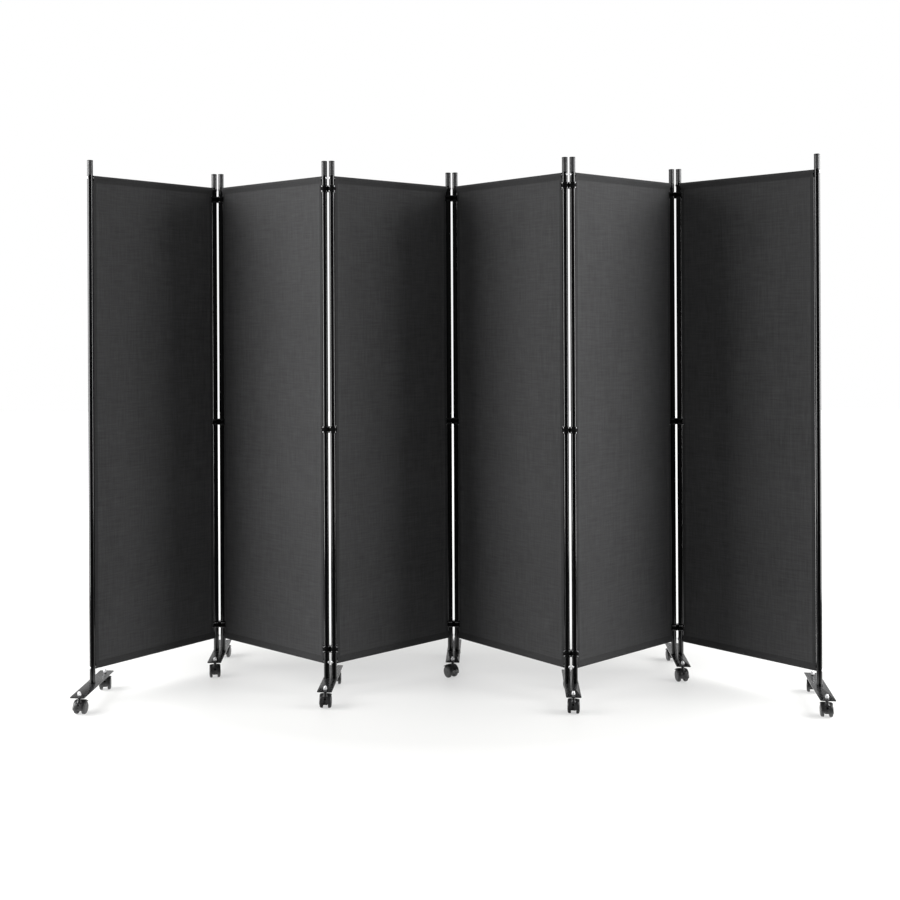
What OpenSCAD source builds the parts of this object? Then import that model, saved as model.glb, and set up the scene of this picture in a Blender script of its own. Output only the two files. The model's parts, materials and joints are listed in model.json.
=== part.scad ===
// Folding room divider: six fabric panels hung in tube frames, joined by clips,
// on seven foot plates that each roll on two twin-wheel casters.
// Millimetres, +Z up, front towards -Y. The origin is on the floor, under the
// middle of the divider's bounding box.

/* [Posts] */
// Distance between the two post axes of a panel
panel_pitch = 500; // [300:1:700]
// Distance between the two post axes at a hinge line
hinge_pitch = 24; // [23.5:0.5:30]
// Height of the post tops above the floor
post_top_z = 1730; // [1400:1:2000]
// Outer diameter of the posts
post_d = 18; // [14:0.5:18.5]
// Wall of the post tubes
post_wall = 1.2; // [1:0.1:2]
// Height where the lower and upper tube of a post meet
post_joint_z = 870; // [400:1:1200]
// Length of the upper tube's end inside the lower tube
spigot_l = 40; // [20:1:80]
// Height of the solid plug in the foot end of a post
plug_h = 25; // [23:1:40]
// Height of a post cap above its tube
cap_h = 3; // [2:0.5:6]
// Depth of a post cap inside its tube
cap_stem_h = 12; // [5:1:30]
// Chamfer round the top of a post cap
cap_chamfer = 0.8; // [0.4:0.1:1.5]

/* [Crossbars] */
// Outer diameter of the crossbars
bar_d = 12; // [10:0.5:14]
// Wall of the crossbar tubes
bar_wall = 1.2; // [1:0.1:2]
// Length of the threaded insert in each end of a crossbar
insert_l = 25; // [22:1:40]
// Distance from the post tops down to the top crossbar's axis
top_bar_drop = 55; // [40:1:400]
// Height of the bottom crossbar's axis
bottom_bar_z = 112; // [100:1:140]

/* [Fabric] */
// Thickness of the fabric
fabric_t = 1; // [0.8:0.1:1.5]
// Height of the sleeves that hold the crossbars
sleeve_h = 22; // [18:1:40]
// Width of the doubled hem down each side
side_hem_w = 12; // [6:1:25]
// Thickness of the doubled hem
side_hem_t = 1.8; // [1.6:0.1:3]
// Gap from the fabric's side edge to the post
fabric_side_gap = 1.3; // [1:0.1:4]
// Gap round a clip in the notch of the fabric's side edge
notch_gap = 0.5; // [0.3:0.1:2]

/* [Fasteners] */
// Diameter of the bolts' shanks
bolt_d = 6; // [4:0.5:7]
// Diameter of the bolts' heads
bolt_head_d = 9; // [8:0.5:12]
// Height of the bolts' heads
bolt_head_h = 2.2; // [2:0.1:3.4]
// Reach of a crossbar bolt into its insert
bar_bolt_reach = 16; // [8:1:20]
// Reach of a foot bolt into the post's plug
foot_bolt_reach = 18; // [10:1:20]
// Depth that a threaded hole is deeper than its bolt reaches
hole_spare = 1; // [0.5:0.5:2]
// Width across the flats of a caster stud's dome nut
nut_af = 10; // [9:0.5:13]
// Height of a dome nut's hexagon
nut_hex_h = 6; // [4:0.5:7]
// Diameter of a dome nut's dome
nut_dome_d = 9.4; // [8:0.1:9.5]
// Height of the straight band under the dome
nut_band_h = 1.4; // [0.5:0.1:2]
// Height that a stud's thread reaches into the dome above the hexagon
nut_thread_rise = 1.5; // [0.5:0.1:2]

/* [Clips] */
// Distance from the top crossbar's axis down to the middle of the top clip
top_clip_drop = 35; // [32:1:300]
// Height of the middle of the middle clip
middle_clip_z = 863; // [300:1:1200]
// Distance from the bottom crossbar's axis up to the middle of the bottom clip
bottom_clip_rise = 42; // [32:1:150]
// Height of a clip
clip_h = 21; // [12:1:40]
// Wall of a clip's rings
clip_wall = 4.7; // [3:0.1:6]
// Height of the rims at the top and bottom of a clip
clip_rim_h = 5.5; // [2:0.5:6]
// Depth of the groove between a clip's rims
clip_groove = 1.5; // [0.5:0.1:2]
// Thickness of the web between a clip's rings
clip_web_t = 7; // [4:0.5:12]

/* [Foot plates] */
// Length of a foot plate
plate_l = 285; // [220:1:400]
// Width of a foot plate
plate_w = 47; // [44:1:70]
// Thickness of a foot plate
plate_t = 3; // [2:0.5:5]
// Corner radius of a foot plate
plate_r = 4; // [2:0.5:12]
// Height of a foot plate's top
plate_top_z = 60; // [58:1:75]
// Distance from a plate's end to the caster stud's axis
stud_inset = 22; // [18:1:40]

/* [Casters] */
// Diameter of the wheels
wheel_d = 40; // [34:1:42]
// Width of one wheel
wheel_w = 10.5; // [8:0.5:16]
// Width of the space between the two wheels
wheel_space = 17; // [14:0.5:20]
// Diameter of the axle
axle_d = 6; // [4:0.5:8]
// Distance from the swivel axis back to the axle
trail = 11; // [8:0.5:16]
// Wall of the hood over the wheels
hood_wall = 3; // [2:0.1:4]
// Gap between a wheel and the hood
hood_gap = 1.5; // [1:0.1:3]
// Width of the hood
hood_w = 36; // [28:1:44]
// Drop of the hood's rounded shoulders
hood_round = 2; // [1:0.1:2.5]
// Angle above the rear horizontal where the hood starts
hood_start = 40; // [20:1:60]
// Angle that the hood covers, over the top and down the front
hood_sweep = 150; // [120:1:160]
// Distance from the axle down to the bottom of the web between the wheels
web_drop = 10; // [8:0.5:14]
// Diameter of the socket that turns on the stud
socket_d = 12.5; // [11:0.5:13]
// Depth of the socket
socket_depth = 22; // [15:1:23]
// Height that the socket stands above the hood
socket_rise = 1; // [0.5:0.5:3]
// Gap between the web and each wheel
web_gap = 1; // [0.5:0.1:2]
// Diameter of the stud's pin in the socket
pin_d = 7; // [5:0.5:8]
// Diameter of the stud's collar between caster and plate
collar_d = 10; // [9:0.5:12]
// Diameter of the stud's thread through the plate
stud_d = 6; // [5:0.5:6.5]

/* [Standing pose] */
// Direction of each panel, left to right, in degrees from the divider's length
panel_turn = [49, -38.5, 40.4, -47, 40.6, -44.2]; // [-80:0.1:80]
// Direction of each foot plate's short side, in degrees from the divider's length
foot_turn = [-3, 2.5, -3, -3, -3.5, -3.5, -8]; // [-30:0.1:30]
// Turn of each front caster on its foot, in degrees
front_caster_turn = [-4, 10, 2, 38, -6, 14, -2]; // [-180:1:180]
// Turn of each rear caster on its foot, in degrees
rear_caster_turn = [12, -8, 5, 20, -10, 6, -12]; // [-180:1:180]

/* [Fits] */
// Radial clearance of a part that turns on another
turning_fit = 0.1; // [0.05:0.01:0.1]
// Radial clearance of a part that is fixed in another
fixed_fit = 0.05; // [0.03:0.01:0.1]
// Gap between faces that slide past each other
face_gap = 0.3; // [0.2:0.05:0.5]
// Gap between faces that are clamped together
seat_gap = 0.05; // [0.03:0.01:0.1]

/* [Hidden] */
$fn = 48;
panels = len(panel_turn);
feet = len(foot_turn);
ends = ["front", "rear"];

post_r = post_d / 2;
post_inner_r = post_r - post_wall;
post_foot_z = plate_top_z + face_gap;
cap_z = post_top_z - cap_h;
bar_r = bar_d / 2;
top_bar_z = post_top_z - top_bar_drop;
clip_r = post_r + turning_fit + clip_wall;
clip_z = [top_bar_z - top_clip_drop, middle_clip_z, bottom_bar_z + bottom_clip_rise];
bolt_r = bolt_d / 2;
plate_z = plate_top_z - plate_t;
stud_y = plate_l / 2 - stud_inset;
wheel_r = wheel_d / 2;
axle_r = axle_d / 2;
hood_inner_r = wheel_r + hood_gap;
hood_r = hood_inner_r + hood_wall;
socket_top_z = wheel_r + hood_r + socket_rise;
wheel_outer_x = wheel_space / 2 + wheel_w;
// Wall of a wheel's closed outer face over the axle's end
hub_wall = 2;
// Chamfer of a wheel's tread at its inner face
wheel_chamfer = 1;
// Length that a cut reaches past a face, or that a piece reaches into the one it joins
overcut = 1;

// Outer edge of a wheel, from the tread to its domed face: radius, distance from the inner face
wheel_edge = [
    for (p = [[1, 0.5], [0.97, 0.68], [0.88, 0.82], [0.7, 0.92], [0.4, 0.98]])
        [wheel_r * p[0], wheel_w * p[1]]
];
// Outer edge of the hood on one side: radius, distance from the middle
hood_edge = [
    [hood_r, hood_w / 4],
    [hood_r - 0.3 * hood_round, hood_w / 2 - 2 * hood_round],
    [hood_r - hood_round, hood_w / 2]
];

// A step of a given length in a given direction
function step(length, turn) = length * [cos(turn), sin(turn)];
// The left post of panel i, counted from 0, before the origin is centred
function left_post(i) = i == 0 ? [0, 0]
    : right_post(i - 1) + step(hinge_pitch, foot_turn[i]);
function right_post(i) = left_post(i) + step(panel_pitch, panel_turn[i]);
// The middle of foot k, counted from 0, before the origin is centred
function foot_middle(k) = k == 0 ? left_post(0)
    : k == feet - 1 ? right_post(k - 1)
    : right_post(k - 1) + step(hinge_pitch / 2, foot_turn[k]);
function turned(p, turn) = [p[0] * cos(turn) - p[1] * sin(turn), p[0] * sin(turn) + p[1] * cos(turn)];
function caster_turn(k, side) = side < 0 ? front_caster_turn[k] : rear_caster_turn[k];

// Outlines in plan of the plates, wheels and hoods, which reach furthest out
plate_points = [
    for (x = [-1, 1]) for (y = [-1, 1]) for (a = [0:5:90]) [
        x * (plate_w / 2 - plate_r + plate_r * cos(a)),
        y * (plate_l / 2 - plate_r + plate_r * sin(a))
    ]
];
caster_points = concat(
    [for (p = wheel_edge) for (x = [-1, 1]) for (y = [-1, 1])
        [x * (wheel_space / 2 + p[1]), trail + y * p[0]]],
    [for (p = hood_edge) for (x = [-1, 1]) [x * p[1], trail - p[0]]],
    [for (p = hood_edge) for (x = [-1, 1]) [x * p[1], trail + p[0] * cos(hood_start)]]
);
plan_points = [
    for (k = [0:feet - 1]) each [
        for (p = plate_points) foot_middle(k) + turned(p, foot_turn[k]),
        for (side = [-1, 1]) for (p = caster_points)
            foot_middle(k) + turned([0, side * stud_y] + turned(p, caster_turn(k, side)), foot_turn[k])
    ]
];
// The middle of the whole outline in plan, which the origin is moved to
centre = [
    for (axis = [0, 1])
        (min([for (p = plan_points) p[axis]]) + max([for (p = plan_points) p[axis]])) / 2
];

// Places its children in the frame of panel i: left post at 0, right post at panel_pitch on X
module at_panel(i) {
    translate(left_post(i) - centre) rotate(panel_turn[i]) children();
}

// Places its children in the frame of foot k: its middle at 0, its length along Y
module at_foot(k) {
    translate(foot_middle(k) - centre) rotate(foot_turn[k]) children();
}

// Places its children on the swivel axis of a caster: side is -1 at the front, 1 at the rear
module at_caster(k, side) {
    at_foot(k) translate([0, side * stud_y, 0]) rotate(caster_turn(k, side)) children();
}

// Repeats its children at both posts of a panel, turned so that +X points at the other post
module at_posts() {
    children();
    translate([panel_pitch, 0, 0]) rotate(180) children();
}

// A cylinder along X from x0 to x1
module rod_x(r, x0, x1) {
    translate([x0, 0, 0]) rotate([0, 90, 0]) cylinder(r = r, h = x1 - x0);
}

module lower_tube() {
    difference() {
        translate([0, 0, post_foot_z]) cylinder(r = post_r, h = post_joint_z - post_foot_z);
        translate([0, 0, post_foot_z + plug_h])
            cylinder(r = post_inner_r, h = post_joint_z - post_foot_z - plug_h + overcut);
        translate([0, 0, post_foot_z - overcut])
            cylinder(r = bolt_r + fixed_fit, h = foot_bolt_reach + hole_spare + overcut);
        translate([0, 0, bottom_bar_z])
            rod_x(bolt_r + fixed_fit, -post_d, post_d);
    }
}

module upper_tube() {
    spigot_r = post_inner_r - fixed_fit;
    shoulder_z = post_joint_z + seat_gap;
    difference() {
        union() {
            translate([0, 0, shoulder_z]) cylinder(r = post_r, h = cap_z - shoulder_z);
            translate([0, 0, post_joint_z - spigot_l])
                cylinder(r = spigot_r, h = spigot_l + post_wall);
        }
        translate([0, 0, post_joint_z - spigot_l - overcut])
            cylinder(r = spigot_r - post_wall, h = spigot_l + 2 * post_wall + 2 * overcut);
        translate([0, 0, shoulder_z + post_wall])
            cylinder(r = post_inner_r, h = cap_z - shoulder_z);
        translate([0, 0, top_bar_z])
            rod_x(bolt_r + fixed_fit, -post_d, post_d);
    }
}

module post_cap() {
    translate([0, 0, cap_z + seat_gap])
        cylinder(r = post_r, h = cap_h - seat_gap - cap_chamfer);
    translate([0, 0, post_top_z - cap_chamfer])
        cylinder(r1 = post_r, r2 = post_r - cap_chamfer, h = cap_chamfer);
    translate([0, 0, cap_z - cap_stem_h])
        cylinder(r = post_inner_r - fixed_fit, h = cap_stem_h + overcut);
}

module crossbar() {
    end_x = post_r + seat_gap;
    difference() {
        rod_x(bar_r, 0, panel_pitch);
        rod_x(bar_r - bar_wall, end_x + insert_l, panel_pitch - end_x - insert_l);
        at_posts() {
            translate([0, 0, -bar_d]) cylinder(r = end_x, h = 2 * bar_d);
            rod_x(bolt_r + fixed_fit, 0, end_x + bar_bolt_reach + hole_spare);
        }
    }
}

module panel_frame(i) {
    color([0.05, 0.05, 0.055]) at_panel(i) {
        at_posts() {
            lower_tube();
            upper_tube();
            post_cap();
        }
        for (z = [bottom_bar_z, top_bar_z]) translate([0, 0, z]) crossbar();
    }
}

// A bolt along +X, with its head's face at 0 and a shank of the given length
module bolt(shank_l) {
    edge = bolt_head_h / 3;
    rod_x(bolt_r, -overcut, shank_l);
    rod_x(bolt_head_d / 2, edge - bolt_head_h, 0);
    translate([-bolt_head_h, 0, 0]) rotate([0, 90, 0])
        cylinder(r1 = bolt_head_d / 2 - edge, r2 = bolt_head_d / 2, h = edge);
}

module panel_bolts(i) {
    head_x = -post_r - seat_gap;
    color([0.75, 0.75, 0.76]) at_panel(i) at_posts() {
        for (z = [bottom_bar_z, top_bar_z])
            translate([head_x, 0, z]) bolt(2 * post_r + 2 * seat_gap + bar_bolt_reach);
        translate([0, 0, plate_z - face_gap]) rotate([0, -90, 0])
            bolt(plate_t + 2 * face_gap + foot_bolt_reach);
    }
}

// The drop-shaped section of a sleeve round a crossbar, as a solid outline
module sleeve_outline(r, drop) {
    lean = asin(r / drop);
    circle(r = r);
    polygon([[0, -drop], [r * cos(lean), -r * sin(lean)], [-r * cos(lean), -r * sin(lean)]]);
}

// A sleeve that hangs down from its crossbar
module sleeve() {
    inner_r = bar_r + face_gap;
    outer_r = inner_r + fabric_t;
    drop = sleeve_h - outer_r;
    difference() {
        sleeve_outline(outer_r, drop);
        sleeve_outline(inner_r, drop * inner_r / outer_r);
    }
}

module panel_fabric(i) {
    hem_reach = sleeve_h - bar_r - face_gap - fabric_t;
    low_z = bottom_bar_z + hem_reach - fabric_t;
    high_z = top_bar_z - hem_reach + fabric_t;
    side_x = post_r + fabric_side_gap;
    width = panel_pitch - 2 * side_x;
    color([0.16, 0.16, 0.165]) at_panel(i) difference() {
        translate([side_x, 0, 0]) {
            rotate([90, 0, 90]) linear_extrude(width) {
                translate([0, top_bar_z]) sleeve();
                translate([0, bottom_bar_z]) mirror([0, 1]) sleeve();
                translate([-fabric_t / 2, low_z]) square([fabric_t, high_z - low_z]);
            }
            for (x = [0, width - side_hem_w])
                translate([x, -side_hem_t / 2, low_z]) cube([side_hem_w, side_hem_t, high_z - low_z]);
        }
        if (i > 0) clip_notches();
        if (i < panels - 1) translate([panel_pitch, 0, 0]) rotate(180) clip_notches();
    }
}

// The room that a post's clips need in the fabric beside it
module clip_notches() {
    reach = clip_r + notch_gap;
    for (z = clip_z) translate([0, -side_hem_t, z - clip_h / 2 - notch_gap])
        cube([reach, 2 * side_hem_t, clip_h + 2 * notch_gap]);
}

module rounded_plate(length, width, thickness, r) {
    linear_extrude(thickness) {
        square([width - 2 * r, length], center = true);
        square([width, length - 2 * r], center = true);
        for (x = [-1, 1]) for (y = [-1, 1])
            translate([x * (width / 2 - r), y * (length / 2 - r)]) circle(r = r);
    }
}

// A caster stud, from the pin in the caster's socket to the thread in the nut
module caster_stud() {
    pin_z = socket_top_z - socket_depth + face_gap;
    thread_top_z = plate_top_z + nut_hex_h + nut_thread_rise;
    translate([0, 0, pin_z]) cylinder(r = pin_d / 2, h = plate_z - pin_z - overcut);
    translate([0, 0, socket_top_z + face_gap])
        cylinder(r = collar_d / 2, h = plate_z - seat_gap - socket_top_z - face_gap);
    translate([0, 0, plate_z - overcut]) cylinder(r = stud_d / 2, h = thread_top_z - plate_z + overcut);
}

module dome_nut() {
    base_z = plate_top_z + seat_gap;
    dome_r = nut_dome_d / 2;
    difference() {
        union() {
            translate([0, 0, base_z]) cylinder(d = nut_af / cos(30), h = nut_hex_h, $fn = 6);
            translate([0, 0, base_z + nut_hex_h - overcut]) cylinder(r = dome_r, h = overcut + nut_band_h);
            translate([0, 0, base_z + nut_hex_h + nut_band_h]) intersection() {
                sphere(r = dome_r);
                cylinder(r = nut_dome_d, h = nut_dome_d);
            }
        }
        translate([0, 0, base_z - overcut])
            cylinder(r = stud_d / 2 + fixed_fit, h = nut_hex_h + nut_thread_rise + hole_spare + overcut);
    }
}

module foot_plate(k) {
    post_x = (k == 0 || k == feet - 1) ? [0] : [-hinge_pitch / 2, hinge_pitch / 2];
    color([0.1, 0.1, 0.105]) at_foot(k)
        difference() {
            translate([0, 0, plate_z]) rounded_plate(plate_l, plate_w, plate_t, plate_r);
            for (x = post_x) translate([x, 0, plate_z - overcut])
                cylinder(r = bolt_r + turning_fit, h = plate_t + 2 * overcut);
            for (side = [-1, 1]) translate([0, side * stud_y, plate_z - overcut])
                cylinder(r = stud_d / 2 + fixed_fit, h = plate_t + 2 * overcut);
        }
    color([0.1, 0.1, 0.105]) at_foot(k)
        for (side = [-1, 1]) translate([0, side * stud_y, 0]) caster_stud();
    color([0.75, 0.75, 0.76]) at_foot(k)
        for (side = [-1, 1]) translate([0, side * stud_y, 0]) dome_nut();
}

// A clip that holds the two posts of a hinge line side by side
module clip() {
    difference() {
        union() {
            for (x = [-1, 1]) translate([x * hinge_pitch / 2, 0, 0]) {
                cylinder(r = clip_r - clip_groove, h = clip_h);
                for (z = [0, clip_h - clip_rim_h]) translate([0, 0, z])
                    cylinder(r = clip_r, h = clip_rim_h);
            }
            translate([-hinge_pitch / 2, -clip_web_t / 2, 0]) cube([hinge_pitch, clip_web_t, clip_h]);
        }
        for (x = [-1, 1]) translate([x * hinge_pitch / 2, 0, -overcut])
            cylinder(r = post_r + turning_fit, h = clip_h + 2 * overcut);
    }
}

module hinge_clips(k) {
    color([0.08, 0.08, 0.085]) at_foot(k)
        for (z = clip_z) translate([0, 0, z - clip_h / 2]) clip();
}

// The hood's section, as radius from the axle and distance along it
module hood_section() {
    polygon(concat(
        [[hood_inner_r, -hood_w / 2]],
        [for (i = [2:-1:0]) [hood_edge[i][0], -hood_edge[i][1]]],
        hood_edge,
        [[hood_inner_r, hood_w / 2]]
    ));
}

module caster_body(k, side) {
    web_w = wheel_space - 2 * web_gap;
    color([0.12, 0.12, 0.125]) at_caster(k, side) difference() {
        union() {
            // hood over the wheels, from below the axle at the front to high at the rear
            translate([0, trail, wheel_r]) rotate([90, 0, 90]) rotate([0, 0, hood_start])
                rotate_extrude(angle = hood_sweep, $fn = 96) hood_section();
            // web between the wheels, which holds the axle
            translate([0, trail, wheel_r]) intersection() {
                rotate([0, 90, 0]) cylinder(r = hood_inner_r + overcut, h = web_w, center = true);
                translate([-web_w, -2 * hood_r, -web_drop])
                    cube([2 * web_w, 4 * hood_r, web_drop + 2 * hood_r]);
            }
            translate([0, 0, wheel_r]) cylinder(d = socket_d, h = socket_top_z - wheel_r);
        }
        translate([0, 0, socket_top_z - socket_depth])
            cylinder(r = pin_d / 2 + turning_fit, h = socket_depth + overcut);
        translate([0, trail, wheel_r]) rod_x(axle_r + turning_fit, -web_w, web_w);
    }
}

// The wheel's section, as radius from the axle and distance out from its inner face
module wheel_section() {
    bore_r = axle_r + fixed_fit;
    polygon(concat(
        [[0, wheel_w], [0, wheel_w - hub_wall], [bore_r, wheel_w - hub_wall], [bore_r, 0]],
        [[wheel_r - wheel_chamfer, 0], [wheel_r, wheel_chamfer]],
        wheel_edge
    ));
}

module caster_wheels(k, side) {
    axle_reach = wheel_outer_x - hub_wall - seat_gap;
    color([0.06, 0.06, 0.06]) at_caster(k, side) translate([0, trail, wheel_r]) {
        for (x = [-1, 1]) rotate([0, x * 90, 0]) translate([0, 0, wheel_space / 2])
            rotate_extrude($fn = 96) wheel_section();
        rod_x(axle_r, -axle_reach, axle_reach);
    }
}

for (i = [0:panels - 1]) {
    panel_frame(i);
    panel_bolts(i);
    panel_fabric(i);
}
for (k = [1:feet - 2]) {
    hinge_clips(k);
}
for (k = [0:feet - 1]) {
    foot_plate(k);
    for (side = [-1, 1]) {
        caster = str("caster_", k + 1, "_", side < 0 ? "front" : "rear");
        caster_body(k, side);
        caster_wheels(k, side);
    }
}
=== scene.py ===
import json
import math

import bmesh
import bpy
from mathutils import Matrix, Vector


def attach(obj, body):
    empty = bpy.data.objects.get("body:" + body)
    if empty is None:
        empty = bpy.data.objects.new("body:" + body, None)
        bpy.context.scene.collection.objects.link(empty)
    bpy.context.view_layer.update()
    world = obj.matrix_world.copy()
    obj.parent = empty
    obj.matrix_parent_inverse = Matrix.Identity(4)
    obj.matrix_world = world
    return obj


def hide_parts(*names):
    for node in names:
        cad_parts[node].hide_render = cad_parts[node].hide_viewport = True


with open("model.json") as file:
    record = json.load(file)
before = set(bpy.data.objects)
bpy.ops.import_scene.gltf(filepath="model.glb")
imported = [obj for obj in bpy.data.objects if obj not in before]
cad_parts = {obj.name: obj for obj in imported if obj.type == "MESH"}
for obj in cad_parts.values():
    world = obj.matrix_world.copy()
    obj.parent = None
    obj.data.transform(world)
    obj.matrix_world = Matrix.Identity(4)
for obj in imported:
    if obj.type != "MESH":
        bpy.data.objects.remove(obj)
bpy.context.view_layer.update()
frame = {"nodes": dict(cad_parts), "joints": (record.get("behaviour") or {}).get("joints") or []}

MM = 0.001
PANELS, FEET = range(1, 7), range(1, 8)
ENDS = ("front", "rear")

# ---------------------------------------------------------------- the part's sizes, in millimetres
PITCH, HINGE = 500, 24
POST_R, TOP_Z, JOINT_Z = 9, 1730, 870
TOP_BAR, LOW_BAR, BAR_R = 1675, 112, 6
PLATE_TOP, PLATE_T, PLATE_W, PLATE_L, PLATE_CORNER, STUD_Y = 60, 3, 47, 285, 4, 120.5
CLIP_Z, CLIP_H, CLIP_R, CLIP_WEB, CLIP_BORE, CLIP_GROOVE = (1640, 863, 154), 21, 13.8, 7, 9.1, 1.5
NUT_ACROSS, SHANK_R = 10, 2.95
AXLE_Z, TRAIL, HOOD_HALF, HOOD_INNER, WHEEL_GAP = 20, 11, 18, 21.6, 8.5
# the cloth: sleeve's end from its bar's axis, gap to the posts, hem, thickness, radius round a bar, depth of the web
SLEEVE, SIDE_GAP, HEM_W, CLOTH_T, CLOTH_R, WEB_Y = 22, 1.3, 12, 0.7, BAR_R + 0.75, -0.1
# a seam's distance from its bar's axis, and how far past the seam the second layer shows
SEAM, SEAM_LAP = SLEEVE - CLOTH_R, 0.55
STITCH_IN, STITCH_L, STITCH_GAP, STITCH_R = 10, 2.6, 1.3, 0.28
NOTCH_R, NOTCH_H = CLIP_R + 0.5, CLIP_H / 2 + 0.5

# ---------------------------------------------------------------- places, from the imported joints
joints = {j["name"]: j for j in frame["joints"]}


def plan(name):
    p = joints[name]["pos_m"]
    return Vector((p[0], p[1], 0))


def place(origin, along):
    """Matrix with its origin at origin and +X along a direction in plan."""
    x = Vector((along[0], along[1])).normalized()
    return Matrix(((x.x, -x.y, 0, origin.x), (x.y, x.x, 0, origin.y), (0, 0, 1, 0), (0, 0, 0, 1)))


panel_at, foot_at, caster_at = {}, {}, {}
for i in PANELS:
    left, right = plan(f"fold_{i}_left"), plan(f"fold_{i}_right")
    panel_at[i] = place(left, right - left)
for k in FEET:
    front, rear = plan(f"swivel_{k}_front"), plan(f"swivel_{k}_rear")
    back = rear - front
    foot_at[k] = place((front + rear) / 2, (back.y, -back.x))
    for end in ENDS:
        caster_at[k, end] = place(plan(f"swivel_{k}_{end}"), joints[f"roll_{k}_{end}"]["axis"])

# ---------------------------------------------------------------- camera
cam_data = bpy.data.cameras.new("camera")
cam = bpy.data.objects.new("camera", cam_data)
bpy.context.scene.collection.objects.link(cam)
bpy.context.scene.camera = cam
cam_data.sensor_width = 36
cam_data.lens = 46.9
cam_data.shift_x, cam_data.shift_y = 0.0556, -0.1418
cam.location = (-0.0726, -3.9142, 1.2076)
cam.rotation_euler = (math.radians(90), math.radians(0.286), math.radians(1.479))
cam_data.clip_start, cam_data.clip_end = 0.05, 100

# ---------------------------------------------------------------- materials
# the single layer of a panel's cloth, in metres: middle height, half its height and half its width
WEB_MIDDLE = (TOP_BAR + LOW_BAR) / 2 * MM
WEB_HALF_H = ((TOP_BAR - LOW_BAR) / 2 - SEAM - SEAM_LAP) * MM
WEB_HALF_W = (PITCH / 2 - POST_R - SIDE_GAP - HEM_W) * MM
# above this height, in metres, the posts stand free of the cloth
BARE_Z = (TOP_BAR + BAR_R + 2) * MM


class Shader:
    """A material's node tree, with short calls for the nodes it uses."""

    def __init__(self, name, **fixed):
        self.mat = bpy.data.materials.new(name)
        self.mat.use_nodes = True
        self.nodes, self.links = self.mat.node_tree.nodes, self.mat.node_tree.links
        self.bsdf = self.nodes["Principled BSDF"]
        for socket, v in fixed.items():
            self.bsdf.inputs[socket.replace("_", " ")].default_value = v
        self.coords = self.nodes.new("ShaderNodeTexCoord").outputs["Object"]

    def wire(self, a, b):
        self.links.new(a, b)

    def feed(self, socket, v):
        """Wires a socket to another one's output, or sets it to a value."""
        if hasattr(v, "links"):
            self.wire(v, socket)
        else:
            socket.default_value = v

    def axes(self):
        split = self.nodes.new("ShaderNodeSeparateXYZ")
        self.wire(self.coords, split.inputs[0])
        return split.outputs["X"], split.outputs["Y"], split.outputs["Z"]

    def mapped(self, scale):
        m = self.nodes.new("ShaderNodeMapping")
        m.inputs["Scale"].default_value = scale
        self.wire(self.coords, m.inputs["Vector"])
        return m.outputs["Vector"]

    def noise(self, size, scale=(1, 1, 1), detail=2.0, rough=0.5):
        """Noise whose grain is about size metres."""
        n = self.nodes.new("ShaderNodeTexNoise")
        n.inputs["Scale"].default_value = 1 / size
        n.inputs["Detail"].default_value = detail
        n.inputs["Roughness"].default_value = rough
        self.wire(self.mapped(scale), n.inputs["Vector"])
        return n.outputs["Fac"]

    def wave(self, pitch, axis):
        """Slightly uneven threads across one axis, pitch metres apart."""
        w = self.nodes.new("ShaderNodeTexWave")
        w.wave_type, w.bands_direction, w.wave_profile = "BANDS", axis, "SIN"
        w.inputs["Scale"].default_value = math.pi / (10 * pitch)
        w.inputs["Distortion"].default_value = 0.6
        w.inputs["Detail"].default_value = 1.0
        w.inputs["Detail Scale"].default_value = 2.0
        self.wire(self.coords, w.inputs["Vector"])
        return w.outputs["Fac"]

    def ramp(self, fac, *stops):
        r = self.nodes.new("ShaderNodeValToRGB")
        while len(r.color_ramp.elements) < len(stops):
            r.color_ramp.elements.new(0.5)
        for e, (pos, c) in zip(r.color_ramp.elements, stops):
            e.position = pos
            e.color = (*c, 1) if hasattr(c, "__len__") else (c, c, c, 1)
        self.wire(fac, r.inputs["Fac"])
        return r.outputs["Color"]

    def math(self, op, a, b):
        m = self.nodes.new("ShaderNodeMath")
        m.operation = op
        for socket, v in zip(m.inputs, (a, b)):
            self.feed(socket, v)
        return m.outputs["Value"]

    def mix(self, fac, a, b, blend="MIX"):
        """Mixes two colours, each an output or three numbers."""
        m = self.nodes.new("ShaderNodeMix")
        m.data_type, m.blend_type = "RGBA", blend
        self.feed(m.inputs[0], fac)
        for socket, v in zip((m.inputs[6], m.inputs[7]), (a, b)):
            self.feed(socket, v if hasattr(v, "links") else (*v, 1))
        return m.outputs[2]

    def bump(self, height, distance, strength):
        b = self.nodes.new("ShaderNodeBump")
        b.inputs["Strength"].default_value = strength
        b.inputs["Distance"].default_value = distance
        self.wire(height, b.inputs["Height"])
        self.wire(b.outputs["Normal"], self.bsdf.inputs["Normal"])

    def use(self, color, rough=None):
        self.wire(color, self.bsdf.inputs["Base Color"])
        if rough is not None:
            self.wire(rough, self.bsdf.inputs["Roughness"])
        return self.mat


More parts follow.
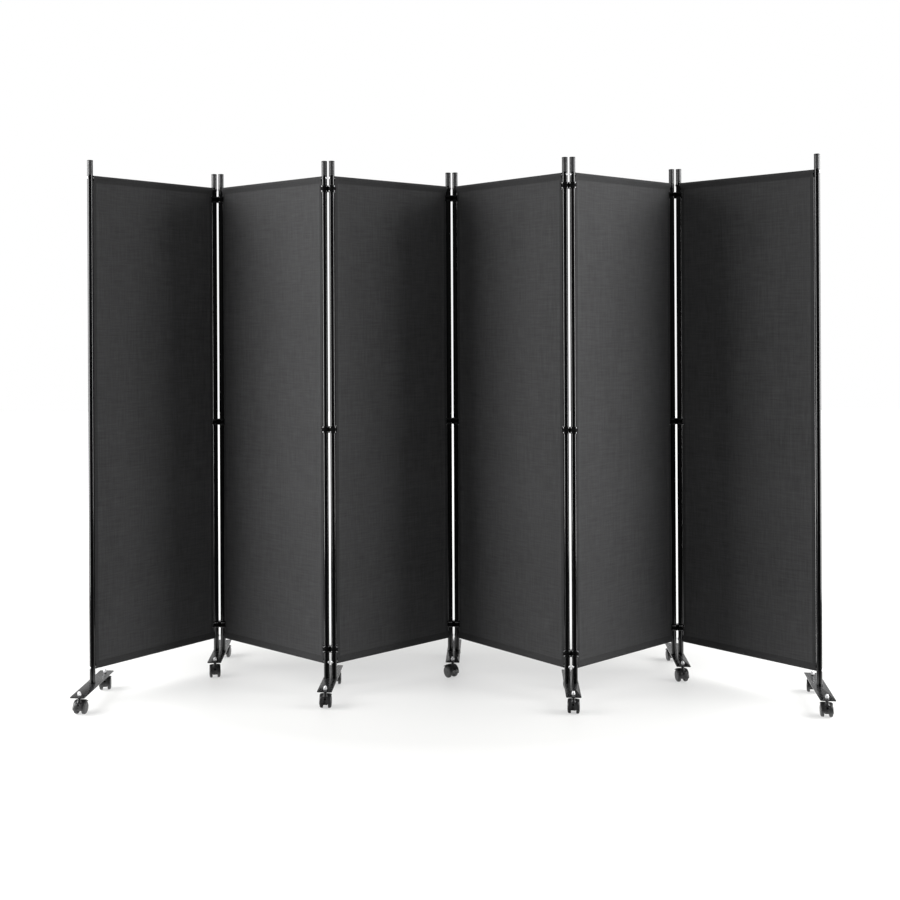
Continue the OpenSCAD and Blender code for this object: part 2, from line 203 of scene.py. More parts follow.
def fabric_material():
    s = Shader("woven_polyester", Sheen_Weight=0.12, Sheen_Roughness=0.45, Specular_IOR_Level=0.25)
    s.bsdf.inputs["Sheen Tint"].default_value = (0.7, 0.7, 0.74, 1)
    thread = 0.0011
    warp, weft = s.wave(thread, "X"), s.wave(thread, "Z")
    slub_x = s.noise(0.004, (1, 1, 0.06), 4.0, 0.6)
    slub_z = s.noise(0.004, (0.06, 1, 1), 4.0, 0.6)
    slubs = s.math("ADD", slub_x, slub_z)
    cloudy = s.noise(0.25)
    tone = s.math("ADD", s.math("MULTIPLY", slubs, 0.42), s.math("MULTIPLY", cloudy, 0.16))
    color = s.ramp(tone, (0.36, (0.029, 0.029, 0.0295)), (0.64, (0.056, 0.056, 0.057)))
    # painted shade: the sleeves and hems, which have two layers, are darkened, since one layer lets some light through
    # and two let less
    x, _, z = s.axes()
    from_middle_z = s.math("ABSOLUTE", s.math("SUBTRACT", z, WEB_MIDDLE), 0)
    from_middle_x = s.math("ABSOLUTE", s.math("SUBTRACT", x, PITCH / 2 * MM), 0)
    web = s.math("MULTIPLY", s.math("LESS_THAN", from_middle_z, WEB_HALF_H),
                 s.math("LESS_THAN", from_middle_x, WEB_HALF_W))
    color = s.mix(s.math("SUBTRACT", 1.0, web), color, (0.7, 0.7, 0.7), "MULTIPLY")
    rough = s.ramp(tone, (0.3, 0.72), (0.7, 0.92))
    height = s.math("ADD", s.math("MULTIPLY", s.math("MAXIMUM", warp, weft), 0.7), s.math("MULTIPLY", slubs, 0.5))
    s.bump(height, 0.00022, 0.55)
    return s.use(color, rough)


def stitch_material():
    s = Shader("sewing_thread", Sheen_Weight=0.1, Specular_IOR_Level=0.3)
    ply = s.noise(0.0012)
    s.bump(ply, 0.0002, 0.5)
    return s.use(s.ramp(ply, (0.3, (0.018, 0.018, 0.018)), (0.7, (0.04, 0.04, 0.041))),
                 s.ramp(ply, (0.3, 0.6), (0.7, 0.8)))


def enamel_material():
    s = Shader("gloss_black_enamel", Specular_IOR_Level=0.5)
    dust, peel = s.noise(0.03, (1, 1, 0.2), 4.0, 0.6), s.noise(0.0022, detail=1.0)
    scuff = s.noise(0.006, (1, 1, 0.12), 5.0, 0.65)
    worn = s.math("ADD", s.math("MULTIPLY", dust, 0.6), s.math("MULTIPLY", scuff, 0.4))
    rough = s.ramp(worn, (0.3, 0.09), (0.75, 0.2))
    s.bump(peel, 0.00008, 0.15)
    color = s.ramp(scuff, (0.35, (0.0008, 0.0008, 0.0009)), (0.8, (0.0025, 0.0025, 0.0027)))
    # the bare ends above the cloth are duller and lighter
    bare = s.math("GREATER_THAN", s.axes()[2], BARE_Z)
    color = s.mix(bare, color, s.ramp(scuff, (0.35, (0.03, 0.03, 0.0305)), (0.8, (0.055, 0.055, 0.056))))
    return s.use(color, s.mix(bare, rough, s.ramp(scuff, (0.3, 0.3), (0.75, 0.45))))


def plate_material():
    s = Shader("textured_black_enamel", Specular_IOR_Level=0.5)
    grain, patch = s.noise(0.0016, rough=0.6), s.noise(0.006)
    s.bump(grain, 0.00005, 0.5)
    color = s.ramp(s.math("ADD", s.math("MULTIPLY", grain, 0.3), s.math("MULTIPLY", patch, 0.7)),
                   (0.4, (0.001, 0.001, 0.0012)), (0.62, (0.022, 0.022, 0.023)))
    return s.use(color, s.ramp(patch, (0.4, 0.1), (0.6, 0.42)))


def zinc_material(name, dark, light):
    s = Shader(name, Metallic=0.4)
    cloud, fine = s.noise(0.004, detail=4.0, rough=0.6), s.noise(0.0007, (1, 1, 3))
    s.bump(fine, 0.00005, 0.3)
    return s.use(s.ramp(cloud, (0.3, (dark, dark, dark)), (0.7, (light, light, light + 0.02))),
                 s.ramp(cloud, (0.3, 0.22), (0.75, 0.36)))


def plastic_material(name, dark, light, rough, grain=0.0009, depth=0.00012, **fixed):
    """Plastic or thick paint with grain metres of grain, from dark to light and from smooth to rough."""
    s = Shader(name, **{"Specular_IOR_Level": 0.45, "Coat_Roughness": 0.06, **fixed})
    fine, rub = s.noise(grain), s.noise(0.012, (1, 1, 0.5), 5.0, 0.65)
    s.bump(fine, depth, 0.5)
    return s.use(s.ramp(rub, (0.35, dark), (0.75, light)), s.ramp(rub, (0.3, rough[0]), (0.75, rough[1])))


FABRIC, THREAD, ENAMEL, PLATE = fabric_material(), stitch_material(), enamel_material(), plate_material()
ZINC, BOLT = zinc_material("bright_zinc", 0.8, 0.92), zinc_material("zinc_bolt", 0.62, 0.8)
CLIP = plastic_material("clip_plastic", (0.0008, 0.0008, 0.0009), (0.003, 0.003, 0.0032), (0.07, 0.15),
                        0.003, 0.00003, Coat_Weight=1.0)
HOOD = plastic_material("caster_nylon", (0.015, 0.015, 0.0155), (0.042, 0.042, 0.043), (0.24, 0.42))
WHEEL = plastic_material("wheel_nylon", (0.028, 0.028, 0.0285), (0.085, 0.085, 0.087), (0.34, 0.55), 0.0012, 0.0002)
CAP = plastic_material("cap_plastic", (0.008, 0.008, 0.009), (0.016, 0.016, 0.017), (0.3, 0.45))
EDGE = plastic_material("plate_edge_enamel", (0.004, 0.004, 0.0045), (0.01, 0.01, 0.0105), (0.04, 0.08),
                        0.003, 0.00002)
# painted shade: a near-black, rough material that stands in for the shade inside the clips' grooves and the hood's
# hole
RECESS_SHADE = plastic_material("recess_painted_shade", (0.001, 0.001, 0.001), (0.003, 0.003, 0.003), (0.6, 0.8),
                        Specular_IOR_Level=0.08)


# ---------------------------------------------------------------- mesh building, in millimetres
def circle(r, z, count):
    return [(r * math.cos(2 * math.pi * q / count), r * math.sin(2 * math.pi * q / count), z) for q in range(count)]


def hexagon(across, z, count):
    """Hexagon of count points, across millimetres from flat to flat."""
    points = []
    for q in range(count):
        a = 2 * math.pi * q / count
        r = across / 2 / math.cos((a % (math.pi / 3)) - math.pi / 6)
        points.append((r * math.cos(a), r * math.sin(a), z))
    return points


def shift(x=0, y=0, z=0, rot=None):
    m = Matrix.Translation((x, y, z))
    return m @ rot if rot else m


def turn_about(axis, degrees):
    return Matrix.Rotation(math.radians(degrees), 4, axis)


def smooth(t):
    t = max(0.0, min(1.0, t))
    return t * t * (3 - 2 * t)


class Build:
    """Points and faces of one piece, in the piece's own frame."""

    def __init__(self):
        self.points, self.faces = [], []

    def add(self, points, faces, matrix=None):
        n = len(self.points)
        self.points += [tuple(matrix @ Vector(p)) if matrix else tuple(p) for p in points]
        self.faces += [tuple(i + n for i in f) for f in faces]

    def rings(self, rings, closed=True, cap_start=True, cap_end=True, matrix=None):
        """Joins rings of equally many points. A ring of one point closes to a tip."""
        points, faces, at = [], [], []
        for r in rings:
            at.append(len(points))
            points += r
        for a in range(len(rings) - 1):
            ra, rb, m, n = rings[a], rings[a + 1], at[a], at[a + 1]
            count = max(len(ra), len(rb))
            for q in range(count if closed else count - 1):
                q2 = (q + 1) % count
                if len(ra) == 1:
                    faces.append((m, n + q2, n + q))
                elif len(rb) == 1:
                    faces.append((m + q, m + q2, n))
                else:
                    faces.append((m + q, m + q2, n + q2, n + q))
        if cap_start and len(rings[0]) > 2:
            faces.append(tuple(range(at[0] + len(rings[0]) - 1, at[0] - 1, -1)))
        if cap_end and len(rings[-1]) > 2:
            faces.append(tuple(range(at[-1], at[-1] + len(rings[-1]))))
        self.add(points, faces, matrix)

    def skin(self, rings, closed=False):
        """Joins rings without caps."""
        self.rings(rings, closed, False, False)

    def turn(self, profile, count, matrix=None, cap_start=True, cap_end=True):
        """Turns a profile of (radius, height) round Z. Radius 0 closes it."""
        rings = [[(0, 0, z)] if r == 0 else circle(r, z, count) for r, z in profile]
        self.rings(rings, True, cap_start, cap_end, matrix)

    def mesh(self, name, sharp):
        """The mesh in metres, smooth where faces meet at less than sharp degrees."""
        me = bpy.data.meshes.new(name)
        me.from_pydata([[c * MM for c in p] for p in self.points], [], self.faces)
        bm = bmesh.new()
        bm.from_mesh(me)
        bmesh.ops.remove_doubles(bm, verts=bm.verts, dist=1e-7)
        bmesh.ops.delete(bm, geom=[v for v in bm.verts if not v.link_faces], context="VERTS")
        bmesh.ops.recalc_face_normals(bm, faces=bm.faces)
        bm.to_mesh(me)
        bm.free()
        me.shade_smooth()
        me.set_sharp_from_angle(angle=math.radians(sharp))
        return me


def put(name, mesh, matrix, body, material=None, replaces=()):
    """Makes a piece from a mesh, places it and lets it ride on a body. A mesh with materials keeps them."""
    obj = bpy.data.objects.new(name, mesh)
    bpy.context.scene.collection.objects.link(obj)
    obj.matrix_world = matrix
    if not mesh.materials:
        mesh.materials.append(material)
    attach(obj, body)
    if replaces:
        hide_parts(*replaces)
    return obj


# ---------------------------------------------------------------- fabric
X0, X1 = POST_R + SIDE_GAP, PITCH - POST_R - SIDE_GAP
NOTCH_W = NOTCH_R - POST_R - SIDE_GAP
HEM_Z = LOW_BAR + SLEEVE - 8, TOP_BAR - SLEEVE + 8
# how far a hem's band reaches in from the side edge, and where the even columns of the web begin
HEM_END, WEB_IN = HEM_W + 0.2, 13.2
WEB_COLUMNS, WEB_ROWS, HEM_ROWS, BAR_STEPS = 34, 120, 90, 16
# the cloth at a seam, as depth and height past the seam: the sleeve's free edge behind, and the tuck in front
FLAP, TUCK = ((0.8, 2.6), (0.75, 0.6)), (-0.35, 0.5)
# a hem's cross-section: distance from the side edge, and depth behind the web
HEM_BAND = ((0.4, 0.35), (0.6, 1.0), (3, 1.15), (9.2, 1.1), (10, 0.8), (10.8, 1.1), (12, 0.95), (HEM_END, 0.4))


def web_levels(z0, z1, count):
    """Even levels from z0 to z1, with one at each end of every clip's notch."""
    ends = [z + side * NOTCH_H for z in CLIP_Z for side in (-1, 1)]
    even = [z0 + (z1 - z0) * q / count for q in range(count + 1)]
    return sorted([z for z in even if all(abs(z - e) > 3 for e in ends)] + ends, reverse=z1 < z0)


def in_notch(z):
    return any(abs(z - c) < NOTCH_H - 0.01 for c in CLIP_Z)


def clipped_sides(i):
    """Whether panel i has clips at its left and at its right post."""
    return i > PANELS[0], i < PANELS[-1]


def cloth_path():
    """The cloth's middle line in (depth, height): from the seam behind the top bar,
    over the bar, down the front and round the bottom bar to the seam behind it."""
    lean = math.asin(CLOTH_R / SEAM)
    top, low = TOP_BAR - SEAM, LOW_BAR + SEAM

    def round_bar(start, bar):
        angles = [start + (math.pi + 2 * lean) * q / BAR_STEPS for q in range(BAR_STEPS + 1)]
        return [(CLOTH_R * math.cos(a), bar + CLOTH_R * math.sin(a)) for a in angles]

    path = [(y, top - z) for y, z in FLAP] + round_bar(-lean, TOP_BAR)
    path.append((TUCK[0], top - TUCK[1]))
    path += [(WEB_Y, z) for z in web_levels(top - FLAP[0][1], low + FLAP[0][1], WEB_ROWS)]
    path.append((TUCK[0], low + TUCK[1]))
    return path + round_bar(math.pi - lean, LOW_BAR) + [(y, low + z) for y, z in reversed(FLAP)]


def ripple(x, z, i):
    """Slight waves of panel i's stretched web, in millimetres: pull marks from the corners and a slow billow."""
    seed = i * 1.7
    # flat near the bars, then fading in over a height, and from each post over a share of the width
    flat, fade, side_fade = 26, 90, 0.05
    slow_h, upright_h, fan_h, fan_reach, fan_height = 1.1, 0.45, 0.5, 190, 1560
    u = x / PITCH
    v = (z - LOW_BAR) / (TOP_BAR - LOW_BAR)
    edge = smooth((z - LOW_BAR - flat) / fade) * smooth((TOP_BAR - flat - z) / fade)
    edge *= smooth(u / side_fade) * smooth((1 - u) / side_fade)
    slow = slow_h * math.sin(2 * math.pi * (0.9 * u + 0.55 * v + seed * 0.37)) * math.sin(math.pi * v)
    upright = upright_h * math.sin(2 * math.pi * (3.1 * u + 0.25 * math.sin(3 * v + seed)) + seed)
    fan = 0.0
    for cu, cv, phase in ((0, 0, 1.3), (1, 0, 2.1), (0, 1, 0.6), (1, 1, 2.9)):
        du, dv = abs(u - cu) * PITCH, abs(v - cv) * fan_height
        angle = math.atan2(dv, du + 1e-6)
        fan += fan_h * math.sin(9 * angle + phase + seed) * math.exp(-math.hypot(du, dv) / fan_reach)
    return edge * (slow + upright + fan)


def cloth_mesh(i):
    width = X1 - X0
    columns = [0, 0.6, 2, NOTCH_W, 6, 9.3, STITCH_IN, 10.7, HEM_END, WEB_IN]
    inner = [WEB_IN + (width - 2 * WEB_IN) * q / WEB_COLUMNS for q in range(1, WEB_COLUMNS)]
    columns = columns + inner + [width - c for c in reversed(columns)]
    # the hem stands out in front, its stitches sink in, and the cloth puckers along them
    puff, dimple, pull, pull_length = 0.45, 0.3, 0.12, 9
    b = Build()
    rows = []
    for y, z in cloth_path():
        front = y == WEB_Y
        web = front and TOP_BAR - SLEEVE > z > LOW_BAR + SLEEVE
        row = []
        for c in columns:
            side = min(c, width - c)
            hem = pucker = 0
            if front:
                hem = puff * smooth(side / 0.6 + 0.3) * (1 - smooth(side - HEM_END))
                hem -= dimple * math.exp(-((side - STITCH_IN) / 0.5) ** 2)
                pucker = pull * math.sin(2 * math.pi * z / pull_length + i) * math.exp(-((side - 11) / 6) ** 2)
            row.append((X0 + c, y - hem + pucker + (ripple(c, z, i) if web else 0), z))
        rows.append(row)
    b.skin(rows)
    left, right = clipped_sides(i)

    def keeps(face):
        x, z = (sum(b.points[v][axis] for v in face) / len(face) for axis in (0, 2))
        beside = (x - X0 < NOTCH_W and left) or (X1 - x < NOTCH_W and right)
        return not (beside and in_notch(z))

    b.faces = [f for f in b.faces if keeps(f)]
    return b.mesh(f"panel_{i}_cloth", 80)


def hem_levels(clipped):
    """Heights of a side hem's sections, and whether each is cut back by a clip's notch."""
    levels = []
    for z in web_levels(*HEM_Z, HEM_ROWS):
        if clipped and any(abs(abs(z - c) - NOTCH_H) < 0.01 for c in CLIP_Z):
            above = any(abs(z - c - NOTCH_H) < 0.01 for c in CLIP_Z)
            levels += [(z, above), (z, not above)]
        else:
            levels.append((z, clipped and in_notch(z)))
    return levels


def hems_mesh(i):
    """The turned hems down the sides, on the back."""
    b = Build()
    cut_to = NOTCH_W + 0.2
    squeeze = (HEM_END - cut_to) / (HEM_END - HEM_BAND[0][0])
    for side, clipped in enumerate(clipped_sides(i)):
        rings = []
        for z, cut in hem_levels(clipped):
            ring = []
            for c, d in HEM_BAND:
                if cut:
                    c = cut_to + (c - HEM_BAND[0][0]) * squeeze
                x = X0 + c if side == 0 else X1 - c
                ring.append((x, d + ripple(x - X0, z, i) + 0.05 * math.sin(z / 1.7 + c), z))
            rings.append(ring)
        b.rings(rings)
    return b.mesh(f"panel_{i}_side_hems", 50)


def add_stitch(b, point, along, out):
    """A spindle of thread round a point, flat against the cloth on the side away from out."""
    p, along, out = Vector(point), Vector(along), Vector(out)
    side, out = along.cross(out) * STITCH_R, out * STITCH_R
    half = along * STITCH_L / 2
    points = [p - half - out]
    for end in (-0.4, 0.4):
        points += [p + half * end + side + out * 0.3, p + half * end + out, p + half * end - side + out * 0.3]
    points.append(p + half - out)
    b.add(points, [(0, 1, 2), (0, 2, 3), (1, 4, 5, 2), (2, 5, 6, 3), (4, 7, 5), (5, 7, 6), (0, 3, 6, 7), (0, 7, 4, 1)])


def stitches_mesh(i):
    """Rows of stitches along the hems and the sleeves' seams, on the front and on the back."""
    b = Build()
    # depths in front and behind at a hem and at a seam, and how far past a seam its stitches run
    hem_y, seam_y, past_seam = (-0.72, 1.12), (-0.62, 1.22), 1.4
    outs = (0, -1, 0), (0, 1, 0)
    z = HEM_Z[0]
    while z < HEM_Z[1]:
        for x in (X0 + STITCH_IN, X1 - STITCH_IN):
            for y, out in zip(hem_y, outs):
                add_stitch(b, (x, y + ripple(x - X0, z, i), z), (0, 0, 1), out)
        z += STITCH_L + STITCH_GAP
    x = X0 + 2
    while x < X1 - 1:
        for z in (TOP_BAR - SEAM - past_seam, LOW_BAR + SEAM + past_seam):
            for y, out in zip(seam_y, outs):
                add_stitch(b, (x, y, z), (1, 0, 0), out)
        x += STITCH_L + STITCH_GAP
    return b.mesh(f"panel_{i}_stitches", 60)


def fabric(i):
    at, body = panel_at[i], f"panel_{i}"
    obj = put(f"panel_{i}_cloth", cloth_mesh(i), at, body, FABRIC, replaces=[f"panel_{i}_fabric"])
    solid = obj.modifiers.new("thickness", "SOLIDIFY")
    solid.thickness, solid.offset = CLOTH_T * MM, 0
    hem = put(f"panel_{i}_side_hems", hems_mesh(i), at, body, FABRIC)
    sewn = put(f"panel_{i}_stitches", stitches_mesh(i), at, body, THREAD)


# ---------------------------------------------------------------- bolts, caps and joints of the posts
def bolt_head(b, matrix):
    """A button head along +Z from 0, with a hexagon socket."""
    count, rim_r, rim_z, socket = 28, 1.95, 2.15, 2 * 1.73 * math.cos(math.radians(30))
    b.turn([(4.5, 0), (4.5, 0.6), (4.3, 1.05), (3.8, 1.5), (3.1, 1.85), (2.4, 2.08), (rim_r, rim_z)], count, matrix,
           cap_end=False)
    b.rings([circle(rim_r, rim_z, count), hexagon(socket, 2.05, count), hexagon(socket, 0.8, count), [(0, 0, 0.4)]],
            True, False, False, matrix)


def bolts(i):
    b = Build()
    for x, sign in ((0, 1), (PITCH, -1)):
        for z in (LOW_BAR, TOP_BAR):
            bolt_head(b, shift(x - sign * (POST_R + 0.05), 0, z, turn_about("Y", -90 * sign)))
            shank = shift(x - sign * POST_R, 0, z, turn_about("Y", 90 * sign))
            b.turn([(SHANK_R, 0), (SHANK_R, 2 * POST_R + 15), (2.2, 2 * POST_R + 16)], 16, shank)
        under = shift(x, 0, PLATE_TOP - PLATE_T - 0.3, turn_about("X", 180))
        bolt_head(b, under)
        b.turn([(SHANK_R, -20), (SHANK_R, 0)], 16, under)
    put(f"panel_{i}_bolts_detailed", b.mesh(f"panel_{i}_bolts_detailed", 40), panel_at[i], f"panel_{i}", BOLT,
        replaces=[f"panel_{i}_bolts"])


def caps(i):
    cap = [(r, TOP_Z + z) for r, z in (
        (9.02, -3.6), (9.2, -3.3), (9.2, -0.9), (9.0, -0.35), (8.5, 0.05), (7.8, 0.2), (4.5, 0.32), (0, 0.38))]
    joint = [(r, JOINT_Z + z) for r, z in (
        (9.0, -1.1), (9.1, -0.8), (9.1, -0.35), (8.9, 0), (9.1, 0.35), (9.1, 0.8), (9.0, 1.1))]
    b, s = Build(), Build()
    for x in (0, PITCH):
        b.turn(cap, 40, shift(x), cap_start=False)
        s.turn(joint, 40, shift(x), cap_start=False, cap_end=False)
    for build, name, material in ((b, f"panel_{i}_caps", CAP), (s, f"panel_{i}_tube_joints", ENAMEL)):
        put(name, build.mesh(name, 40), panel_at[i], f"panel_{i}", material)


# ---------------------------------------------------------------- clips
def clip_outline(sign, inset):
    """Outline of one half of a clip, from the middle plane round its post and back."""
    ring_r, web, half, steps = CLIP_R - inset, CLIP_WEB / 2, HINGE / 2, 44
    start = max(math.asin(web / ring_r), math.acos(min(1, half / ring_r)))
    side = ring_r * math.sin(start)
    neck = half - ring_r * math.cos(start)
    outer = [(0, side), (sign * neck * 0.5, side)]
    for q in range(steps + 1):
        a = start + (2 * math.pi - 2 * start) * q / steps
        outer.append((sign * (half - ring_r * math.cos(a)), ring_r * math.sin(a)))
    return outer + [(sign * neck * 0.5, -side), (0, -side), (0, 0)]


def clip_bore(sign, radius, z):
    """The bore's points at the bearings of the outline's points."""
    axis = sign * HINGE / 2
    points = []
    for x, y in clip_outline(sign, 0):
        a = math.atan2(y, x - axis)
        points.append((axis + radius * math.cos(a), radius * math.sin(a), z))
    return points


def clips_mesh():
    b = Build()
    h = CLIP_H / 2
    rim = [(h, 0.6), (h - 0.25, 0.2), (h - 0.8, 0), (h - 4.8, 0), (h - 5.25, 0.25), (h - 5.5, 0.8),
           (h - 5.6, CLIP_GROOVE)]
    outer_levels = [(-z, d) for z, d in rim] + list(reversed(rim))
    bore_levels = [(-h, 9.6), (0.6 - h, CLIP_BORE), (h - 0.6, CLIP_BORE), (h, 9.6)]
    for mid in CLIP_Z:
        for sign in (-1, 1):
            outs = [[(x, y, z + mid) for x, y in clip_outline(sign, d)] for z, d in outer_levels]
            ins = [clip_bore(sign, r, z + mid) for z, r in bore_levels]
            b.skin(outs)
            # the last and first outline points lie on the middle plane, so they get no wall
            b.faces = [f for f in b.faces if not all(abs(b.points[v][0]) < 1e-9 for v in f)]
            b.skin(ins, closed=True)
            b.skin([outs[0], ins[0]], closed=True)
            b.skin([outs[-1], ins[-1]], closed=True)
            # boss in the groove, on the outermost side
            boss = shift(sign * HINGE / 2, 0, mid, turn_about("Y", 90 * sign))
            b.turn([(2.7, 12.1), (2.6, 13.2), (2.2, 13.7), (0, 13.75)], 20, boss, cap_start=False)
    me = b.mesh("hinge_clips", 40)
    me.materials.append(CLIP)
    me.materials.append(RECESS_SHADE)
    # painted shade: the bottom of the groove gets the near-black, rough recess material
    for f in me.polygons:
        x, y, z = f.center / MM
        groove_shade = abs(math.hypot(abs(x) - HINGE / 2, y) - CLIP_R + CLIP_GROOVE) < 0.3
        if groove_shade and any(abs(z - c) < h - 5.4 for c in CLIP_Z):
            f.material_index = 1
    return me


# ---------------------------------------------------------------- feet
def plate_outline(inset, z):
    """Rounded rectangle of the foot plate, inset by so much."""
    r, steps = max(PLATE_CORNER - inset, 0.5), 6
    points = []
    for sx, sy, a0 in ((1, 1, 0), (-1, 1, 90), (-1, -1, 180), (1, -1, 270)):
        cx, cy = sx * (PLATE_W / 2 - PLATE_CORNER), sy * (PLATE_L / 2 - PLATE_CORNER)
        for q in range(steps + 1):
            a = math.radians(a0 + 90 * q / steps)
            points.append((cx + r * math.cos(a), cy + r * math.sin(a), z))
    return points


def base_mesh():
    b = Build()
    chamfer = ((0.9, 0), (0.25, 0.25), (0, 0.7))
    b.rings([plate_outline(d, PLATE_TOP - PLATE_T + z) for d, z in chamfer]
            + [plate_outline(d, PLATE_TOP - z) for d, z in reversed(chamfer)])
    me = b.mesh("foot_base", 50)
    me.materials.append(PLATE)
    me.materials.append(EDGE)
    # the sides, cut and not blasted, are smoother than the top
    for f in me.polygons:
        f.material_index = int(abs(f.normal.z) < 0.5)
    return me


def nuts_mesh():
    b = Build()
    count = 36
    low = [(x * 0.93, y * 0.93, z) for x, y, z in hexagon(NUT_ACROSS, 0.05, count)]
    hexagons = [hexagon(NUT_ACROSS, z, count) for z in (0.5, 5.75)]
    dome = [circle(r, z, count) for r, z in (
        (4.95, 6.4), (4.72, 6.55), (4.7, 7.4), (4.62, 8.4), (4.2, 9.6), (3.4, 10.8), (2.3, 11.65), (1.1, 12.05))]
    for y in (-STUD_Y, STUD_Y):
        b.rings([low, *hexagons, *dome, [(0, 0, 12.15)]], matrix=shift(0, y, PLATE_TOP))
    return b.mesh("foot_nuts", 32)


def studs_mesh():
    b = Build()
    for y in (-STUD_Y, STUD_Y):
        b.turn([(3.4, 24), (3.5, 25), (3.5, 45.9), (5.1, 45.95), (5.3, 46.3), (5.3, 48.4), (5.0, 48.8), (5.0, 54.2),
                (5.4, 54.6), (6.4, 55.2), (6.4, 56.7), (6.1, 56.96)], 32, shift(0, y))
    return b.mesh("foot_studs", 40)


# ---------------------------------------------------------------- casters
def hood_point(x, angle, r):
    a = math.radians(angle)
    return (x, TRAIL + r * math.cos(a), AXLE_Z + r * math.sin(a))


def hood_r(x):
    """Outer radius of the hood, which falls off towards its sides."""
    return 24.55 - 0.35 * (abs(x) / HOOD_HALF) ** 2 - 1.9 * (abs(x) / HOOD_HALF) ** 6


def add_hood(b):
    """The curved hood over the wheels, open underneath."""
    rear_angle, front_angle, steps = 40, 190, 30
    # the lower front edge rises between the wheels: by this angle, within this distance of the middle
    peak, peak_half = 26, 8.8
    # shares of the full thickness that are left at the lower edges and at the sides
    low_share, side_share = 0.55, 0.86
    half_xs = (0, 1.5, 3, 5.5, 8, 9.8, 12, 14.8, 16.7, 17.7, HOOD_HALF)
    outer, inner = [], []
    for x in [-x for x in reversed(half_xs[1:])] + list(half_xs):
        last = front_angle - peak * max(0.0, 1 - abs(x) / peak_half) ** 0.8
        angles = [rear_angle + (last - rear_angle) * q / steps for q in range(steps + 1)]
        rise = (hood_r(x) - HOOD_INNER) * (1.0 if abs(x) < HOOD_HALF else side_share)
        rises = [rise * low_share] + [rise] * (steps - 1) + [rise * low_share]
        outer.append([hood_point(x, a, HOOD_INNER + d) for a, d in zip(angles, rises)])
        inner.append([hood_point(x, a, HOOD_INNER) for a in angles])
    b.skin(outer)
    b.skin(inner)
    for n in (0, -1):
        b.skin([outer[n], inner[n]])
    for n in (0, -1):
        b.skin([[row[n] for row in outer], [row[n] for row in inner]])


def caster_mesh():
    b = Build()
    add_hood(b)
    # web between the wheels, arched underneath
    arc = [math.radians(-32 + 227 * q / 32) for q in range(33)]
    side = [(22 * math.cos(a), 22 * math.sin(a)) for a in arc]
    side += [(-17, -6.2), (-10, -5.8), (-6.5, -7), (-4.5, -9), (0, -10), (6, -10.6), (12, -11.3)]
    b.rings([[(x, TRAIL + y * k, AXLE_Z + z * k) for y, z in side]
             for x, k in ((-7.5, 0.955), (-6.85, 1), (6.85, 1), (7.5, 0.955))])
    # socket for the stud, with a flared foot
    b.turn([(6.25, 22), (6.25, 38.5), (9.4, 39.4), (8.3, 41.4), (6.9, 42.9), (6.4, 44.2), (6.25, 45.1), (5.9, 45.5),
            (3.8, 45.5), (3.8, 40)], 36, cap_start=False, cap_end=False)
    # raised ribs from the socket along the hood's top
    rib_x, rib_start, rib_sweep, rib_h, steps = 4.2, 100, 48, 0.55, 12
    for x in (-rib_x, rib_x):
        r = hood_r(x)
        rows = []
        for q in range(steps + 1):
            a, h = rib_start + rib_sweep * q / steps, rib_h * math.sin(math.pi * q / steps)
            section = ((-0.8, -0.2), (-0.45, h), (0.45, h), (0.8, -0.2))
            rows.append([hood_point(x + dx, a, r + dr) for dx, dr in section])
        b.rings(rows)
    return b.mesh("caster_hood", 42)


def recess_mesh():
    """The round hole in the hood's front: a thin rim round a flat disc of painted shade that stands for the hole."""
    b = Build()
    angle, count = 150, 28
    out = Vector((0, math.cos(math.radians(angle)), math.sin(math.radians(angle))))
    at = Matrix.Translation(hood_point(0, angle, 24.5)) @ out.to_track_quat("Z", "Y").to_matrix().to_4x4()
    b.turn([(3.4, -0.5), (3.4, 0.12), (3.2, 0.3), (2.9, 0.3), (2.7, 0.08)], count, at, cap_start=False, cap_end=False)
    b.turn([(2.75, 0.09), (1.5, 0.07), (0, 0.06)], count, at, cap_start=False)
    return b.mesh("caster_recess", 40)


def wheels_mesh():
    b = Build()
    profile = [(r, WHEEL_GAP + out) for r, out in (
        (3.0, 0), (6.5, 0), (6.8, 0.4), (7.0, 2.2), (15.6, 2.2), (16.0, 0.4), (16.4, 0), (19.0, 0), (19.6, 0.25),
        (19.95, 0.8), (20.0, 1.6), (20.0, 4.35), (19.93, 5.35), (19.7, 6.35), (19.2, 7.45), (18.4, 8.35), (17.3, 9.05),
        (16.0, 9.55), (15.2, 9.75), (14.9, 9.5), (14.5, 9.5), (14.2, 9.9), (12.0, 10.1), (9.0, 10.25), (6.6, 10.33),
        (6.3, 9.95), (5.9, 9.95), (5.6, 10.37), (3.0, 10.47), (0, 10.49))]
    for sign in (-1, 1):
        b.turn(profile, 56, shift(0, TRAIL, AXLE_Z, turn_about("Y", 90 * sign)), cap_start=False)
    b.turn([(3, -16.9), (3, 16.9)], 20, shift(0, TRAIL, AXLE_Z, turn_about("Y", 90)))
    return b.mesh("caster_wheels", 35)


